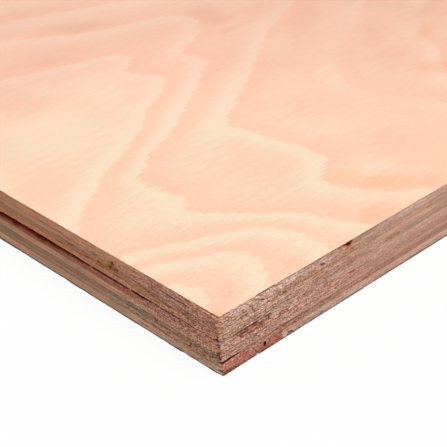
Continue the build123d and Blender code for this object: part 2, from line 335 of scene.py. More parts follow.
def void_relief(veneer, side, along, depth):
    """How far the voids reach in at each place of an edge, and the painted shade in their mouths."""
    reach = np.zeros(np.shape(along))
    mouth_shade_mask = np.zeros(np.shape(along))
    below = depth - veneer["top"]
    where = (veneer["name"], side)
    if where == ("crossband_1", FRONT):
        across = (along - CORE_GAP["start"]) / CORE_GAP["width"] * 2 - 1
        floor = CORE_GAP["height"] * (1 - across**2)
        reach = CORE_GAP["reach"] * step(-0.1, 0.1, floor - below) * (np.abs(across) < 1)
        mouth_shade_mask = step(0.0, 0.25, 1.2 * (1 - (across - 0.3) ** 2) - below)
    if where == ("long_core_4", FRONT):
        left = 1 - along / SPLIT["length"]
        plan = SPLIT["reach"] * np.sqrt(np.clip(1 - (2 * left - 1) ** 2, 0, 1) * 0.75 + 0.25)
        ragged = SPLIT["opening"] * left + 0.05 * noise(along / 0.8, 0.5, 64)
        reach = plan * step(-0.06, 0.06, ragged - below) * (left > 0)
        mouth_shade_mask = step(-0.45, -0.18, ragged - below) * step(0.0, 0.06, left)
    if where == ("crossband_5_strip", FRONT):
        across = (along - WORM_HOLE["at"]) / WORM_HOLE["width"] * 2
        down = (below - WORM_HOLE["drop"]) / WORM_HOLE["height"] * 2
        reach = WORM_HOLE["reach"] * (1 - step(0.9, 1.15, np.hypot(across, down)))
        mouth_shade_mask = 1 - step(1.2, 1.75, np.hypot(across, down))
    if where == ("crossband_3", LEFT):
        distance, height, deep = np.array(TORN_GROOVE).T
        ragged = 1 + 0.22 * noise(along / 2.6, 0.5, 61) + 0.2 * noise(along / 9, 0.5, 62)
        for place, width in BRIDGES:
            ragged = ragged * (1 - 0.7 * np.exp(-(((along - place) / width) ** 2)))
        inside = (along > distance[0]) & (along < distance[-1])
        opening = np.interp(along, distance, height) * ragged
        sloped = np.clip(1 - below / np.maximum(opening, 0.01), 0, 1)
        reach = np.interp(along, distance, deep) * ragged * np.sqrt(sloped) * inside
        # Its painted shade as it is seen from above, under the lip, and taller where it is stringy
        stringy = step(23, 28, along) * (1 - step(48, 56, along)) * (opening > 0.35)
        dark_to = 0.55 * np.sqrt(opening) + 0.29 * stringy + 0.12 * noise(along / 1.6, below / 0.5, 66)
        mouth_shade_mask = 1 - step(-0.12, 0.12, below - 0.8 * reach - dark_to)
        mouth_shade_mask = mouth_shade_mask * inside * step(0.1, 0.35, opening)
    if veneer["name"] == "back_veneer":
        for place, half, deep in CHIPS.get(side, []):
            out = np.abs(along - place) / half + 0.25 * noise(along / 1.5, 0.5, 65)
            reach = np.maximum(reach, deep * (1 - step(0.5, 1.0, out)))
    return reach, mouth_shade_mask


def edge_surface(veneer, side, along, depth):
    """One side of a veneer: its relief into the sheet, the factor on the wood's colour, with painted
    shade in pits, cracks and voids and painted highlights, and how torn the wood is, from 0 to 1.
    """
    if (side == LEFT and veneer["start"] > 0) or (side == RIGHT and veneer["end"] < LENGTH):
        # A face that butts on the next strip, inside the sheet
        relief = 0.02 + 0.015 * noise(along / 4, depth / 0.6, 40)
        return relief, np.full(np.shape(along) + (3,), 0.8), np.full(np.shape(along), 0.3)
    relief = sawn_relief(veneer, side, along, depth)
    # Patches that the veneers share: darker and paler, greyer and redder
    light = layered_noise(along / 8, depth / 1.8, 91 + side)
    hue = layered_noise(along / 11, depth / 2.6, 95 + side, 2)
    tone = 1 + 0.12 * light[..., None] + hue[..., None] * np.array([0.02, -0.03, -0.05])
    # Patches and cracks follow the grain, so their outlines waver
    wavered = along + 0.45 * noise(along / 1.3, depth / 0.7, 41)
    wavered = wavered + 0.18 * noise(along / 0.4, depth / 0.4, 43)
    lifted = depth + 0.16 * noise(along / 1.5, depth / 0.6, 42)
    lifted = lifted + 0.10 * noise(along / 0.5, depth / 0.4, 44)
    mottled = 0.75 + 0.25 * noise(along / 1.6, depth / 0.5, 45)
    # Stains, and the painted highlights among the pale patches
    for *oval, red, green, blue in STAINS_AND_HIGHLIGHTS.get(side, []):
        mask = (1 - step(0.45, 1.0, oval_distance(wavered, lifted, oval))) * mottled
        tone = tint(tone, mask, np.array([red, green, blue]) / 100)
    pitted = noise(along / 0.9, depth / 0.45, 48) + 0.6 * noise(along / 0.4, depth / 0.3, 49)
    pitted = 0.35 + 0.65 * step(0.0, 0.7, pitted)
    for *oval, deep in TEARS.get(side, []):
        relief = relief + deep * (1 - step(0.5, 1.05, oval_distance(wavered, lifted, oval))) * pitted
    for half_width, *points in HIGHLIT_SPLINTERS.get(side, []):
        mask = 1 - step(0.5, 1.2, line_distance(along, depth, points) / half_width)
        relief = relief * (1 - mask)
        # A painted highlight where the splinter catches the light
        tone = tint(tone, mask, SPLINTER_HIGHLIGHT)
    uneven = 0.8 + 0.2 * noise(along / 0.7, depth / 0.5, 46)
    for half_width, deep, *points in SHADED_CRACKS.get(side, []):
        gap = line_distance(0.5 * (along + wavered), 0.5 * (depth + lifted), points)
        mask = (1 - step(0.4, 1.25, gap / half_width)) * uneven
        relief = relief + deep * mask
        # Painted shade in the crack, darker the deeper it goes
        dark = 1 - np.clip(2.2 * deep, 0, 0.88)
        tone = tint(tone, mask, (dark, dark**1.5, dark**1.8))
    # Painted shade in pits: the deeper the relief, the darker the wood
    pits = step(0.10, 0.42, relief)
    tone = tint(tone, pits, PIT_SHADE)
    reach, mouth_shade_mask = void_relief(veneer, side, along, depth)
    # Painted shade inside the voids, and darker painted shade in their mouths
    tone = tint(tone, step(0.02, 0.6, reach) * (veneer["name"] != "back_veneer"), VOID_SHADE)
    tone = tint(tone, mouth_shade_mask, MOUTH_SHADE)
    # In the wide part of the groove the painted shade is lighter and red, as its red wood shows in the
    # shade
    if side == LEFT:
        red = mouth_shade_mask * step(36, 60, along) * (1 - 0.5 * step(78, 92, along))
        tone = tint(tone, red, GROOVE_SHADE_RED)
    rough = np.full(np.shape(along), 0.55)
    if side in (FRONT, LEFT):
        rough = np.exp(-((along / ROUGH_REACH[side]) ** 2)) + 0.55 * step(120, 260, along)
    rough = rough * (1 + 0.3 * noise(along / 60, depth / 3, 58) * step(120, 260, along))
    # Rough, pitted and pale wood shows the specks most
    torn = 0.16 + 0.06 * noise(along / 12, depth / 1.5, 47) + 0.78 * rough + 0.3 * pits
    torn = np.clip(torn, 0, 1) * np.clip(tone[..., 1], 0, 1) * CALMER.get(veneer["name"], 1)
    if side in (LEFT, RIGHT):
        front_wood, left_wood = VENEERS[veneer["name"]]
        tone = tone * (left_wood / front_wood)
    relief = np.maximum(relief, -PROUD) + corner_wear(side, along, depth) + reach
    return relief, tone, torn


# The grid of vertices: the columns along an edge are fine near the corner and widen beyond,
# the rows down an edge are finer where a veneer has a void, and the face's cells grow inwards

FINE_COLUMN = 0.25
FINE_REACH = 98
COLUMN_GROWTH = 1.05
WIDEST_COLUMN = 7
ROW_HEIGHT = {"long_core_4": 0.12, "crossband_3": 0.17, "crossband_5_strip": 0.12}
USUAL_ROW_HEIGHT = 0.2
NEAR_CELL, FAR_CELL = 1.5, 14
CELLS_GROW_FROM, CELLS_GROW_TO = 200, 500
# How far along the two sides of a corner the vertices move with it
CORNER_FOLLOWS = 2.0


def stations(length):
    """Distances along an edge: close together near the corner and further apart beyond."""
    at_hole = np.arange(-3, 4) * FINE_COLUMN + FINE_COLUMN * round(WORM_HOLE["at"] / FINE_COLUMN)
    even = np.arange(0, FINE_REACH, FINE_COLUMN)
    places = list(np.union1d(even, at_hole + FINE_COLUMN / 2))
    gap = FINE_COLUMN
    while places[-1] + gap < length:
        places.append(places[-1] + gap)
        gap = min(gap * COLUMN_GROWTH, WIDEST_COLUMN)
    if length - places[-1] < 0.5 * gap:
        places.pop()
    return np.array(places + [length])


def pick_lines(places):
    """The columns that carry on over the face as lines of its grid, by their index."""
    lines = [0]
    for index, place in enumerate(places):
        grown = np.clip((place - CELLS_GROW_FROM) / (CELLS_GROW_TO - CELLS_GROW_FROM), 0, 1)
        wanted = NEAR_CELL + (FAR_CELL - NEAR_CELL) * grown
        if place - places[lines[-1]] >= wanted - 0.01:
            lines.append(index)
    if lines[-1] != len(places) - 1:
        lines[-1] = len(places) - 1
    return lines


LONG_STATIONS, SHORT_STATIONS = stations(LENGTH), stations(WIDTH)
LONG_LINES, SHORT_LINES = pick_lines(LONG_STATIONS), pick_lines(SHORT_STATIONS)


def between_ends(places, start, end):
    """The places between two ends, with the ends themselves."""
    inner = places[(places > start + 0.05) & (places < end - 0.05)]
    return np.concatenate([[start], inner, [end]])


def outline(start, end):
    """The columns round a veneer from start to end along the sheet, counter-clockwise.

    Gives a list of (side, distances along it, x, y) with both ends of each side.
    """
    front = between_ends(LONG_STATIONS, start, end)
    back = between_ends(LONG_STATIONS[LONG_LINES], start, end)
    right = SHORT_STATIONS[SHORT_LINES]
    left = SHORT_STATIONS if start == 0 else right
    return [
        (FRONT, front, front, 0 * front),
        (RIGHT, right, end + 0 * right, right),
        (BACK, back[::-1], back[::-1], WIDTH + 0 * back),
        (LEFT, left[::-1], start + 0 * left, left[::-1]),
    ]


def veneer_ring(veneer):
    """The rows of vertices round a veneer: their depths, places, colour factors and tear."""
    height = ROW_HEIGHT.get(veneer["name"], USUAL_ROW_HEIGHT)
    count = max(3, round((veneer["bottom"] - veneer["top"]) / height) + 1)
    rows = np.linspace(veneer["top"], veneer["bottom"], count)
    bases, reliefs, tones = [], [], []
    for side, along, x, y in outline(veneer["start"], veneer["end"]):
        depth = rows[:, None] + 0 * along[None, :]
        relief, tone, torn = edge_surface(veneer, side, along[None, :] + 0 * depth, depth)
        bases.append(np.stack([x, y], -1))
        reliefs.append(relief)
        tones.append(np.concatenate([tone, torn[..., None]], -1))
    # Where two sides meet, the corner takes the relief of both and its neighbours follow
    ring = []
    for side in range(4):
        last, following = (side - 1) % 4, (side + 1) % 4
        base = bases[side]
        place = base[None] + reliefs[side][..., None] * np.array(INWARD[side])
        for other, end, column in ((last, base[:1], -1), (following, base[-1:], 0)):
            nearness = np.clip(1 - np.abs(base - end).sum(-1) / CORNER_FOLLOWS, 0, 1)
            pull = reliefs[other][:, column][:, None] * nearness
            place = place + pull[..., None] * np.array(INWARD[other])
        ring.append(place[:, :-1])
    tone = np.concatenate([side_tone[:, :-1] for side_tone in tones], 1)
    return rows, np.concatenate(ring, 1), tone


def build_veneer(veneer):
    """One veneer as a closed mesh: rings of vertices round its edges, and its two flat sides."""
    rows, ring, ring_tone = veneer_ring(veneer)
    count = ring.shape[1]
    heights = np.broadcast_to(THICKNESS - rows[:, None], ring.shape[:2])
    verts = np.concatenate([ring, heights[..., None]], -1).reshape(-1, 3)
    tone = ring_tone.reshape(-1, 4)
    column = np.arange(count)
    following = (column + 1) % count
    quads = []
    for row in range(len(rows) - 1):
        upper, lower = row * count, (row + 1) * count
        corners = [upper + column, lower + column, lower + following, upper + following]
        quads.append(np.stack(corners, -1))
    edge_faces = np.concatenate(quads).tolist()
    flat_faces = []
    flats = [(0, column, False), ((len(rows) - 1) * count, column[::-1], True)]
    for offset, order, underside in flats:
        if veneer["name"] == ("back_veneer" if underside else "face_veneer"):
            verts, tone, cells = grid_cap(verts, tone, offset, count, underside)
            flat_faces += cells
        else:
            flat_faces.append((offset + order).tolist())
    make_piece(veneer, verts, edge_faces, flat_faces, tone)


def grid_cap(verts, tone, offset, count, underside):
    """Closes the face or the underside with a grid that meets the fine columns of the edges."""
    long_at, short_at = np.array(LONG_LINES), np.array(SHORT_LINES)
    columns, rows = len(long_at), len(short_at)
    right_start = len(LONG_STATIONS) - 1
    back_start = right_start + rows - 1
    left_start = back_start + columns - 1
    last_short = len(SHORT_STATIONS) - 1
    index = np.full((columns, rows), -1)
    index[:, 0] = long_at
    index[-1, :] = right_start + np.arange(rows)
    index[:, -1] = back_start + np.arange(columns)[::-1]
    index[0, :] = left_start + last_short - short_at
    index[0, 0] = 0
    index = index % count + offset
    x, y = np.meshgrid(LONG_STATIONS[long_at][1:-1], SHORT_STATIONS[short_at][1:-1], indexing="ij")
    inner = np.stack([x, y, verts[offset, 2] + 0 * x], -1).reshape(-1, 3)
    index[1:-1, 1:-1] = (len(verts) + np.arange(len(inner))).reshape(columns - 2, rows - 2)
    verts = np.concatenate([verts, inner])
    tone = np.concatenate([tone, np.ones((len(inner), 4))])
    cells = []
    for i in range(columns - 1):
        for j in range(rows - 1):
            low_side = [index[i, j], index[i + 1, j]]
            if j == 0:
                low_side = list(range(offset + long_at[i], offset + long_at[i + 1])) + low_side[1:]
            left_side = [index[i, j + 1]]
            if i == 0:
                first, last = left_start + last_short - short_at[[j + 1, j]]
                left_side = [offset + k % count for k in range(first, last)]
            cell = [int(k) for k in low_side + [index[i + 1, j + 1]] + left_side]
            cells.append(cell[::-1] if underside else cell)
    return verts, tone, cells


def new_object(name, data):
    """An object in the scene."""
    thing = bpy.data.objects.new(name, data)
    bpy.context.scene.collection.objects.link(thing)
    return thing


def add_attribute(mesh, name, values):
    """A value or a colour at each vertex, for the material to read."""
    if values.ndim == 1:
        mesh.attributes.new(name, "FLOAT", "POINT").data.foreach_set("value", values)
    else:
        if values.shape[1] == 3:
            values = np.concatenate([values, np.ones((len(values), 1))], 1)
        mesh.attributes.new(name, "FLOAT_COLOR", "POINT").data.foreach_set("color", values.ravel())


def make_piece(veneer, verts, edge_faces, flat_faces, tone):
    """The Blender object of a veneer, in the frame, standing for its solid."""
    name = veneer["name"]
    x, y = verts[:, 0], verts[:, 1]
    mesh = bpy.data.meshes.new(name + "_wood")
    mesh.from_pydata(((verts + LOW) * MM).tolist(), [], edge_faces + flat_faces)
    smooth = np.zeros(len(mesh.polygons), bool)
    smooth[:len(edge_faces)] = True
    mesh.polygons.foreach_set("use_smooth", smooth)
    add_attribute(mesh, "tone", tone)
    mesh.materials.append(sawn_material(veneer))
    if name in FLATS:
        ground, wood = FLATS[name]
        add_attribute(mesh, "figure", ground(x, y))
        add_attribute(mesh, "shade", face_shade(x, y, name))
        add_attribute(mesh, "contrast", ring_contrast(x, y, name))
        mottled = 1 - step(MOTTLED_FROM, MOTTLED_TO, np.hypot(x, y))
        add_attribute(mesh, "mottled", mottled)
        mesh.materials.append(face_material(name + "_flat", *wood))
        mesh.polygons.foreach_set("material_index", 1 - smooth.astype(np.int32))
    mesh.validate()
    mesh.update()
    piece = new_object(name + "_wood", mesh)
    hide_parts(name)
    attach(piece, "root")


# The figure of the face: growth rings cut by the peeling knife, as the lines of equal height
# on a hilly ground. Each line is where one ring ends: its level, then its places as x and y in
# mm from the near corner, with the higher ground on the left.

RING_LINES = [
    (5, [(0, 5), (3, 7.5), (5, 10), (5.5, 12.5), (4.5, 15), (2.5, 17.5), (0, 19.5)]),
    (4, [
        (18, 0), (20.3, 4), (23.3, 8), (25, 11), (25, 14), (23.8, 17), (21.8, 19.2), (19, 20.8),
        (16, 22.3), (12.5, 24.5), (8.5, 26.8), (4.5, 28.6), (0, 29.8),
    ]),
    (3, [
        (41, 0), (41.3, 5), (41.3, 9), (40.8, 13), (39.5, 17), (37, 21), (34, 24), (31, 25.5),
        (28, 26), (25, 27.5), (22, 29), (18, 31), (13, 33.5), (8, 35.5), (3, 37), (0, 37.2),
    ]),
    (3, [
        (0, 54.8), (2, 56.8), (5, 60.8), (9, 64.2), (14, 67.4), (20, 70.8), (23.5, 74.4), (27, 77),
        (32, 79), (36, 80.5), (40, 83), (44, 85.7), (50, 89.5), (55, 93.5), (60, 97), (67, 102),
        (73, 106), (79, 110), (83, 113.3), (85, 117), (83, 121.5), (80.3, 124), (79.3, 128),
        (79, 130.8), (83, 133.5), (87, 137), (89, 140.5), (88, 143.6), (84, 145), (78, 147.8),
        (70.7, 149.5), (64.7, 151), (57, 153.3), (51, 155.5), (45, 157), (36, 160),
    ]),
    (2, [
        (57, 0), (56, 2.5), (54.7, 5.7), (53.2, 8.1), (52, 10.6), (51.3, 13.7), (50, 16.8),
        (48.5, 19.9), (46, 22.4), (43.5, 25), (41, 27.4), (38.6, 29.9), (36, 32.7), (33.6, 35.5),
        (31.7, 38.9), (29.5, 41), (28, 43), (29.9, 45.4), (33, 48.5), (34.3, 50.5), (31.8, 53),
        (31.3, 56), (32, 60), (30.5, 64), (31.2, 66.5), (34, 68.5), (38, 71), (42, 75), (46, 77.5),
        (51, 79.5), (56, 81.5), (60, 84), (65, 87.5), (69, 90), (74.5, 94), (80.2, 97.6), (86, 102),
        (91.8, 106), (97.6, 110.5), (103, 114.5), (105.5, 118), (104, 122), (102.8, 126.5),
        (105.5, 129.3), (113, 132.5), (119, 135.5), (123.5, 140), (127.5, 146), (130, 149.5),
        (129, 153), (126, 157), (120, 161.3), (111, 164.3), (104, 165.5), (97.7, 167), (90.2, 170.5),
        (84.2, 174.8), (78.2, 178.5), (72, 183.5), (62, 188),
    ]),
    (1, [
        (84, 0.5), (81, 3.5), (77, 7), (73, 11), (70, 15.5), (68, 20), (66.3, 24), (66.3, 26.7),
        (68.5, 29), (72, 31.5), (75.5, 34), (77.7, 37), (78.5, 41), (78, 45), (77.5, 50), (76.5, 55),
        (75.5, 59), (76, 63), (74, 68), (73.5, 73), (77, 77.5), (83, 80.5), (90, 85.5), (97.5, 90.2),
        (103.5, 94), (110.7, 98.5), (116.6, 102.8), (122.4, 107.2), (128, 112), (134, 116.4),
        (140, 120), (146, 122.8), (152, 126), (158, 128.5), (164, 131.5), (170, 137), (168, 146),
        (158, 158), (145, 170), (132, 180), (118, 188), (108, 191), (99, 194.5), (90, 198.5),
        (81, 201.5), (72, 205),
    ]),
    (0, [
        (130, 36), (124, 50), (121, 60), (123, 68), (126.5, 73), (131, 78), (137, 84), (144, 89),
        (152, 93.5), (160, 97), (168, 101), (176, 106), (186, 112),
    ]),
    (-1, [(150, 46), (160, 56), (168, 66), (174, 77), (185, 85), (198, 93)]),
]
# Single places: the corner itself, the flat top of the hill and the valley beside it
LONE_POINTS = [
    (3, 1.5, 4.85), (12, 7, 4.5), (20, 108, 3.3), (45, 121, 3.45), (56, 114, 3.4), (57, 126, 3.45),
    (39, 129, 3.42), (34, 117, 3.3), (66, 120, 3.2), (44, 104, 3.22), (60, 103, 3.12), (50, 142, 3.25),
    (0, 78, 3.55), (0, 95, 3.25), (6, 106, 3.35), (16, 120, 3.4), (26, 140, 3.4), (70, 134, 3.15),
    (8, 46, 2.55), (15, 52, 2.4), (59, 62, 1.5), (55, 45, 1.6), (62, 75, 1.35),
    (95, 20, 0.7), (100, 60, 0.62), (108, 40, 0.6), (110, 75, 0.6), (122, 92, 0.62), (140, 105, 0.6),
]
# How far a traced point pulls the ground, how far it may miss the point, and how far from the
# near corner any of them pulls
FIGURE_REACH = 70
GIVE = 0.01
PULLED_WITHIN = 300
# Distance beside a line and the rise there; the second only where the rings are wide
BESIDE_LINE = [(2.6, 0.2), (6.5, 0.42)]
WIDE_RINGS_FROM = 105
# Which part of the log each flat side is cut from
FACE_CUT, BACK_CUT = 5, 23


def far_ground(x, y, seed):
    """The ground of a figure away from traced lines: long hills along the grain."""
    hills = 2.2 * layered_noise(x / 620 + 0.4, y / 150 + 0.7, seed, 2)
    return hills + 0.9 * noise(x / 240, y / 60, seed + 4)


def bump_of_reach(distance):
    """Falls smoothly from 1 to 0 over the reach of one point."""
    part = np.clip(distance / FIGURE_REACH, 0, 1)
    return (1 - part) ** 4 * (4 * part + 1)


def support_points():
    """The traced points, with others on either side of each, and their levels."""
    points = list(LONE_POINTS)
    for level, line in RING_LINES:
        line = np.array(line, float)
        run = np.gradient(line, axis=0)
        left = np.stack([-run[:, 1], run[:, 0]], -1) / np.hypot(run[:, 0], run[:, 1])[:, None]
        for (x, y), (left_x, left_y) in zip(line, left):
            points.append((x, y, level))
            wide = math.hypot(x, y) > WIDE_RINGS_FROM
            for beside, rise in BESIDE_LINE if wide else BESIDE_LINE[:1]:
                points.append((x + beside * left_x, y + beside * left_y, level + rise))
                points.append((x - beside * left_x, y - beside * left_y, level - rise))
    return np.array(points)


def solve_ground():
    """Weights of the bumps that pull the far ground onto the traced lines."""
    points = support_points()
    gaps = np.hypot(points[:, None, 0] - points[None, :, 0], points[:, None, 1] - points[None, :, 1])
    left = points[:, 2] - far_ground(points[:, 0], points[:, 1], FACE_CUT)
    weights = np.linalg.solve(bump_of_reach(gaps) + GIVE * np.eye(len(points)), left)
    return points, weights


SUPPORTS, WEIGHTS = solve_ground()


def face_ground(x, y):
    """Height of the ground of the face's figure."""
    height = far_ground(x, y, FACE_CUT)
    near = (x < PULLED_WITHIN) & (y < PULLED_WITHIN)
    pulled = np.zeros(near.sum())
    for (place_x, place_y, level), weight in zip(SUPPORTS, WEIGHTS):
        pulled += weight * bump_of_reach(np.hypot(x[near] - place_x, y[near] - place_y))
    height[near] += pulled
    return height


def back_ground(x, y):
    """Height of the ground of the underside's figure."""
    return far_ground(x, y, BACK_CUT)


# The light and the dark wood of a ring on the face, and the flats that show a figure
LIGHT_WOOD, DARK_WOOD = srgb(250, 209, 184), srgb(250.5, 194, 169.5)
FLATS = {
    "face_veneer": (face_ground, (LIGHT_WOOD, DARK_WOOD)),
    "back_veneer": (back_ground, (LIGHT_WOOD * 0.86, DARK_WOOD * 0.78)),
}

# Patches of the face: centre, half length, half width, the angle of the length to the grain in
# degrees, and per cent of the wood's red, green and blue
FACE_PATCHES = [
    (0.4, 0.4, 2.6, 2.6, 0, 98, 84, 75), (10, 6, 7, 5, 20, 99, 95, 91), (44, 8, 4, 9, 0, 100, 104, 104),
    (92, 68, 15, 14, 0, 100, 95, 95), (30, 3, 5, 5, 0, 100, 93, 90), (27, 14, 3, 5, 0, 100, 96, 96),
    (73, 23, 11, 6, -50, 100, 95, 87), (81, 11, 12, 5, -45, 100, 94, 84), (88, 4, 6, 4, 0, 99, 94, 87),
    (63, 4, 9, 6, 0, 100, 92, 87), (78, 8, 36, 13, 0, 99.5, 94.5, 92.5), (57, 14, 5, 7, 0, 100, 96, 91),
    (35, 62, 8, 12, 0, 100, 98, 95), (93, 30, 22, 13, -30, 100, 94, 94), (85, 45, 6, 5, 0, 100, 97, 97),
    (40, 132, 15, 11, 10, 99, 93, 92), (70, 160, 24, 8, -15, 97.5, 93, 90),
    (94, 177, 24, 8, -25, 93, 88, 84), (135, 150, 19, 10, 50, 96, 93, 93), (130, 131, 8, 3, 0, 93, 88, 87),
    (155, 117, 20, 8, 35, 97, 92, 88), (158, 85, 12, 5, 40, 98, 94, 93), (136, 145, 8, 14, 0, 98, 93, 91),
    (147, 70, 14, 8, 40, 98, 95, 94), (152, 53, 13, 7, -40, 97, 85, 80), (172, 95, 14, 8, 20, 96, 94, 92),
    (186, 108, 18, 10, -40, 94, 94, 93), (128, 108, 15, 9, 35, 100, 109, 107),
    (195, 92, 15, 12, 0, 95, 92, 90), (175, 75, 12, 4, 35, 97, 93, 88),
]
# Patches where the rings hardly show: the same, and how much of their contrast is left
FAINT_RINGS = [
    (120, 50, 24, 32, 0, 0.2), (155, 93, 48, 18, 32, 0.25), (188, 80, 24, 18, 30, 0.4),
]
# The near corner is a pale part of the face, and others lie further in. It is mottled, too.
PALE_FROM, PALE_TO = 95, 175
MOTTLED_FROM, MOTTLED_TO = 20, 120
PALER = (1.03, 1.18, 1.15)
# The colour away from the near corner, and that of the clouds all over
FURTHER_IN = (0.96, 0.985, 0.98)
CLOUDED = (0.97, 0.93, 0.91)


def patch(x, y, centre_x, centre_y, half_length, half_width, angle):
    """1 inside a patch of the face and 0 outside it, with an outline that wavers."""
    turn = math.radians(angle)
    along = (x - centre_x) * math.cos(turn) + (y - centre_y) * math.sin(turn)
    across = (y - centre_y) * math.cos(turn) - (x - centre_x) * math.sin(turn)
    out = np.hypot(along / half_length, across / half_width) + 0.22 * noise(x / 7, y / 4, 54)
    return 1 - step(0.25, 1.1, out)


def ring_contrast(x, y, name):
    """How clearly the rings show at places of the face or the underside."""
    contrast = 1 - 0.3 * step(110, 200, np.hypot(x, y))
    if name == "face_veneer":
        for *place, left in FAINT_RINGS:
            contrast = contrast * (1 - (1 - left) * patch(x, y, *place))
    return contrast


def face_shade(x, y, name):
    """Factor on the colour of the face or the underside at places of it."""
    shade = np.ones(np.shape(x) + (3,))
    clouds = step(0.1, 0.8, noise(x / 46 + 0.3 * noise(x / 30, y / 30, 52), y / 17, 51))
    reach = np.hypot(x, y)
    if name == "face_veneer":
        pale = 1 - step(PALE_FROM, PALE_TO, reach + 14 * noise(x / 40, y / 25, 53))
        others = step(0.05, 0.65, noise(x / 330, y / 120, 56) + 0.2 * noise(x / 60, y / 30, 57))
        shade = tint(shade, pale + others * step(240, 420, reach), PALER)
        clouds = clouds * step(150, 230, reach)
        shade = tint(shade, step(150, 225, reach), FURTHER_IN)
        for *place, red, green, blue in FACE_PATCHES:
            shade = tint(shade, patch(x, y, *place), np.array([red, green, blue]) / 100)
    return tint(shade, clouds, CLOUDED)


# Materials

class Nodes:
    """A short way to lay out the nodes of a material or of the world."""

    def __init__(self, holder):
        self.holder = holder
        holder.use_nodes = True
        self.tree = holder.node_tree
        self.shader = self.tree.nodes.get("Principled BSDF")

    def add(self, kind, inputs=(), **settings):
        """A new node with its inputs, by name or number, and its settings."""
        node = self.tree.nodes.new(kind)
        for key, value in settings.items():
            setattr(node, key, value)
        for socket, value in dict(inputs).items():
            self.put(node.inputs[socket], value)
        return node

    def put(self, socket, value):
        """Sets an input to a value, or links it to a socket or to a node's first output."""
        if isinstance(value, bpy.types.NodeSocket):
            self.tree.links.new(value, socket)
        elif isinstance(value, bpy.types.Node):
            self.tree.links.new(value.outputs[0], socket)
        else:
            socket.default_value = value

    def math(self, operation, first, second=0.0, third=0.0):
        """Arithmetic on numbers."""
        return self.add("ShaderNodeMath", {0: first, 1: second, 2: third}, operation=operation)

    def vector(self, operation, first, second):
        """Arithmetic on vectors or colours."""
        return self.add("ShaderNodeVectorMath", {0: first, 1: second}, operation=operation)

    def scaled(self, colour, amount):
        """A colour times a number."""
        return self.add("ShaderNodeVectorMath", {0: colour, "Scale": amount}, operation="SCALE")

    def attribute(self, name, output="Color"):
        """An attribute of the mesh at the place that is shaded."""
        return self.add("ShaderNodeAttribute", attribute_name=name).outputs[output]

    def texture(self, x, y, z, detail=2.0, roughness=0.5, shift=0.0):
        """Noise from 0 to 1 whose grains are about x, y and z mm large on the object."""
        where = self.add("ShaderNodeTexCoord").outputs["Object"]
        where = self.vector("MULTIPLY", where, (1 / (x * MM), 1 / (y * MM), 1 / (z * MM)))
        where = self.vector("ADD", where, (shift, shift, shift))
        inputs = {"Vector": where, "Scale": 1.0, "Detail": detail, "Roughness": roughness}
        return self.add("ShaderNodeTexNoise", inputs).outputs["Fac"]

    def between(self, value, low, high, out_low, out_high):
        """A value from low to high as one from out_low to out_high, smooth and kept inside."""
        inputs = {
            "Value": value, "From Min": low, "From Max": high, "To Min": out_low, "To Max": out_high,
        }
        return self.add("ShaderNodeMapRange", inputs, interpolation_type="SMOOTHSTEP")

    def blend(self, factor, first, second):
        """A colour between two: sockets 6, 7 and output 2 are the ones for colours."""
        return self.add("ShaderNodeMix", {0: factor, 6: first, 7: second}, data_type="RGBA").outputs[2]

    def seen_itself(self):
        """1 where the camera sees this or its reflection, and 0 where it only gives light."""
        path = self.add("ShaderNodeLightPath").outputs
        seen = self.math("MAXIMUM", path["Is Camera Ray"], path["Is Glossy Ray"])
        return self.math("MAXIMUM", seen, path["Is Transmission Ray"])

    def finish(self, colour, roughness, specular, relief=None, strength=0.0, distance=0.0):
        """Sets the colour, the dull shine and the relief, distance mm high; gives the material."""
        self.put(self.shader.inputs["Base Color"], colour)
        self.put(self.shader.inputs["Roughness"], roughness)
        self.put(self.shader.inputs["Specular IOR Level"], specular)
        if relief is not None:
            inputs = {"Strength": strength, "Distance": distance * MM, "Height": relief}
            self.put(self.shader.inputs["Normal"], self.add("ShaderNodeBump", inputs))
        return self.holder


def rgba(colour):
    """A colour for a socket, kept between 0 and 1."""
    return tuple(float(c) for c in np.clip(colour, 0, 1)) + (1.0,)


def specks(nodes, shift):
    """How much lighter or darker the torn and sawn wood is from speck to speck."""
    grains = nodes.between(nodes.texture(0.55, 0.55, 0.34, 0.0, 0.5, shift), 0.36, 0.64, -0.115, 0.115)
    fibres = nodes.between(nodes.texture(2.2, 2.2, 0.32, 1.0, 0.6, shift + 3), 0.36, 0.64, -0.07, 0.07)
    # The pale specks are painted highlights, where torn fibres catch the light
    pale = nodes.between(nodes.texture(1.2, 1.2, 0.4, 1.0, 0.5, shift + 5), 0.60, 0.70, 0.0, 0.12)
    dark = nodes.between(nodes.texture(1.8, 1.8, 0.4, 1.0, 0.5, shift + 9), 0.58, 0.69, 0.0, -0.11)
    return nodes.math("ADD", nodes.math("ADD", grains, fibres), nodes.math("ADD", pale, dark))


